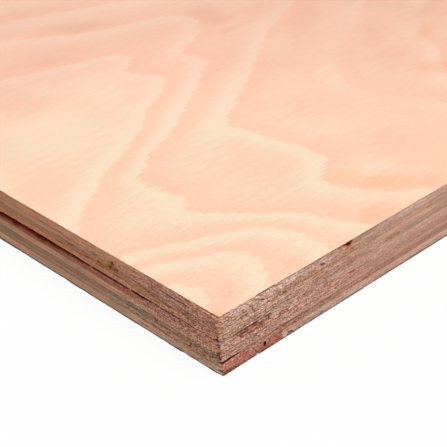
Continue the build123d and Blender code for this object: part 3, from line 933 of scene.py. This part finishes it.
def sawn_material(veneer):
    """Sawn wood of a veneer's edges: fibres along its grain, seen end on across it."""
    name = veneer["name"]
    wood = VENEERS[name][0]
    nodes = Nodes(bpy.data.materials.new(name + "_wood"))
    shift = 3.7 * veneer["index"]

    def grained(length, across, down, detail, roughness=0.6, more_shift=0.0):
        """Noise with its grains laid along the veneer's own."""
        size = (across, length, down) if veneer["cross"] else (length, across, down)
        return nodes.texture(*size, detail, roughness, shift + more_shift)

    rings = grained(60, 18, 0.8, 3.0)
    streaks = grained(13, 4.5, 0.34, 2.0, 0.6)
    redder = nodes.between(grained(28, 12, 1.6, 2.0, 0.5, 2.0), 0.48, 0.68, 0.0, 0.35)
    colour = nodes.blend(redder, rgba(wood * 1.01), rgba(wood * np.array([0.97, 0.84, 0.80])))
    greyer = nodes.between(grained(22, 12, 2.2, 2.0, 0.5, 4.0), 0.48, 0.66, 0.0, 0.5)
    colour = nodes.blend(greyer, colour, rgba(wood * np.array([0.91, 1.0, 1.03])))
    colour = nodes.scaled(colour, nodes.between(rings, 0.35, 0.65, 0.89, 1.09))
    tone = nodes.add("ShaderNodeAttribute", attribute_name="tone")
    torn = tone.outputs["Alpha"]
    streaked = nodes.between(streaks, 0.3, 0.7, -0.055, 0.055)
    streaked = nodes.math("MULTIPLY", streaked, nodes.between(torn, 0.0, 0.7, 0.2, 1.0))
    amount = nodes.math("ADD", nodes.math("MULTIPLY", specks(nodes, shift), torn), streaked)
    # The specks go on as the eye sees them, the same on light and on dark wood
    colour = nodes.vector("MULTIPLY", colour, tone.outputs["Color"])
    seen = nodes.add("ShaderNodeGamma", {"Color": colour, "Gamma": 0.5})
    seen = nodes.vector("ADD", seen, nodes.scaled((1, 1, 1), amount))
    seen = nodes.vector("MAXIMUM", seen, (0.03, 0.03, 0.02))
    colour = nodes.add("ShaderNodeGamma", {"Color": seen, "Gamma": 2.0})
    relief = nodes.math("MULTIPLY", amount, 4.0)
    return nodes.finish(colour, roughness=0.9, specular=0.0, relief=relief, strength=0.5, distance=0.10)


# How a ring goes from light to dark wood: the place in it, and how much is dark wood
RING_RAMP = [
    (0.0, 0.5), (0.04, 0.0), (0.28, 0.0), (0.37, 0.22), (0.47, 0.55), (0.60, 0.85), (0.80, 1.0),
    (0.96, 1.05), (1.0, 0.5),
]
# The part of dark wood that faint rings go towards
MEAN_DARK = 0.75


def face_material(name, light_wood, dark_wood):
    """Sanded rotary-cut veneer: each ring creamy at its start and darker towards its end."""
    nodes = Nodes(bpy.data.materials.new(name))
    ragged = nodes.between(nodes.texture(10, 2.3, 9, 3.0, 0.6), 0.3, 0.7, -0.07, 0.07)
    teeth = nodes.between(nodes.texture(3.6, 0.7, 3, 2.0, 0.6, 5.0), 0.3, 0.7, -0.035, 0.035)
    height = nodes.math("ADD", nodes.attribute("figure", "Fac"), ragged)
    height = nodes.math("ADD", height, teeth)
    ramp = nodes.add("ShaderNodeValToRGB", {0: nodes.math("FRACT", height)})
    elements = ramp.color_ramp.elements
    while len(elements) < len(RING_RAMP):
        elements.new(0.5)
    for element, (place, part) in zip(elements, RING_RAMP):
        element.position = place
        element.color = (part, part, part, 1)
    fibres = nodes.texture(12, 0.5, 1.0, 3.0, 0.6)
    light = nodes.between(fibres, 0.25, 0.75, 0.985, 1.012)
    clouds = nodes.between(nodes.texture(60, 30, 40, 2.0), 0.3, 0.7, 0.98, 1.012)
    pores = nodes.between(nodes.texture(2.6, 0.25, 0.5, 0.0, 0.5, 9.0), 0.66, 0.74, 1.0, 0.965)
    grains = nodes.between(nodes.texture(5, 2.2, 2, 2.0, 0.6, 3.0), 0.3, 0.7, 0.985, 1.01)
    for other in (clouds, pores, grains):
        light = nodes.math("MULTIPLY", light, other)
    # The pores of the near corner stand out
    mottled = nodes.between(nodes.texture(1.3, 0.9, 0.9, 1.0, 0.5, 7.0), 0.36, 0.64, -0.026, 0.020)
    mottled = nodes.math("MULTIPLY", mottled, nodes.attribute("mottled", "Fac"))
    light = nodes.math("ADD", light, mottled)
    apart = nodes.math("SUBTRACT", ramp.outputs["Color"], MEAN_DARK)
    darker = nodes.math("MULTIPLY_ADD", apart, nodes.attribute("contrast", "Fac"), MEAN_DARK)
    wood = nodes.vector("ADD", tuple(light_wood), nodes.scaled(tuple(dark_wood - light_wood), darker))
    colour = nodes.scaled(nodes.vector("MULTIPLY", wood, nodes.attribute("shade")), light)
    return nodes.finish(colour, roughness=0.62, specular=0.3, relief=fibres, strength=0.25, distance=0.04)


def build_sheet():
    """Every veneer of the sheet."""
    for index, name in enumerate(VENEERS):
        low, high = (np.array(corner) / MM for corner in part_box(name))
        veneer = {
            "name": name,
            "index": index,
            "cross": name.startswith("crossband"),
            "top": HIGH[2] - high[2],
            "bottom": HIGH[2] - low[2],
            "start": round(low[0] - LOW[0], 3),
            "end": round(high[0] - LOW[0], 3),
        }
        build_veneer(veneer)


# Floor, light and camera

WHITE = (1, 1, 1, 1)
# The floor: half its side and its height in metres, and how white it is
FLOOR_HALF, FLOOR_HEIGHT = 12.0, -0.0002
FLOOR_WHITE = 0.92
# The sky's part in the light, and the lamp: its strength, its width in degrees, and the
# direction it comes from
FILL_STRENGTH = 0.36
LAMP_STRENGTH = 2.25
LAMP_WIDTH = 35
LAMP_FROM = (0.15, -0.42, 0.90)
# The camera from the face's near corner, in mm; its heading clockwise from +Y, how far it
# looks down and how far it is rolled, in degrees; and the length of its lens in mm
CAMERA_AWAY = (-150.5, -167.6, 159.95)
CAMERA_TURN = (42.446, 30.786, -2.528)
LENS = 93.65


def build_floor():
    """A white floor that keeps the sheet's shadow."""
    half = FLOOR_HALF
    corners = [(-half, -half), (half, -half), (half, half), (-half, half)]
    mesh = bpy.data.meshes.new("floor")
    mesh.from_pydata([(x, y, FLOOR_HEIGHT) for x, y in corners], [], [(0, 1, 2, 3)])
    nodes = Nodes(bpy.data.materials.new("floor_white"))
    white = (FLOOR_WHITE, FLOOR_WHITE, FLOOR_WHITE, 1)
    mesh.materials.append(nodes.finish(white, roughness=0.9, specular=0.1))
    glow = nodes.add("ShaderNodeEmission", {"Color": WHITE, "Strength": 1.0})
    part = nodes.math("MULTIPLY", nodes.seen_itself(), FLOOR_WHITE)
    mixed = nodes.add("ShaderNodeMixShader", {0: part, 1: nodes.shader, 2: glow})
    nodes.put(nodes.tree.nodes["Material Output"].inputs["Surface"], mixed)
    new_object("floor", mesh)


def build_light():
    """A white world with one broad soft lamp from the front right."""
    world = bpy.data.worlds.new("studio")
    bpy.context.scene.world = world
    nodes = Nodes(world)
    backdrop = nodes.tree.nodes["Background"]
    backdrop.inputs["Color"].default_value = WHITE
    fill = nodes.add("ShaderNodeBackground", {"Color": WHITE, "Strength": FILL_STRENGTH})
    mixed = nodes.add("ShaderNodeMixShader", {0: nodes.seen_itself(), 1: fill, 2: backdrop})
    nodes.put(nodes.tree.nodes["World Output"].inputs["Surface"], mixed)
    lamp = bpy.data.lights.new("soft_lamp", "SUN")
    lamp.energy = LAMP_STRENGTH
    lamp.angle = math.radians(LAMP_WIDTH)
    turn = Vector(LAMP_FROM).to_track_quat("Z", "Y")
    new_object("soft_lamp", lamp).rotation_euler = turn.to_euler()


def build_camera():
    """The photograph's camera: close to the near corner, looking down along both edges."""
    heading, pitch, roll = (math.radians(angle) for angle in CAMERA_TURN)
    data = bpy.data.cameras.new("camera")
    data.sensor_width = 36
    data.lens = LENS
    data.clip_start = 0.01
    place = Vector((LOW[0], LOW[1], HIGH[2])) + Vector(CAMERA_AWAY)
    turned = Matrix.Rotation(-heading, 4, "Z") @ Matrix.Rotation(math.pi / 2 - pitch, 4, "X")
    turned = turned @ Matrix.Rotation(roll, 4, "Z")
    camera = new_object("camera", data)
    camera.matrix_world = Matrix.Translation(place * MM) @ turned
    bpy.context.scene.camera = camera


bpy.context.scene.view_settings.view_transform = "Standard"
build_sheet()
build_floor()
build_light()
build_camera()
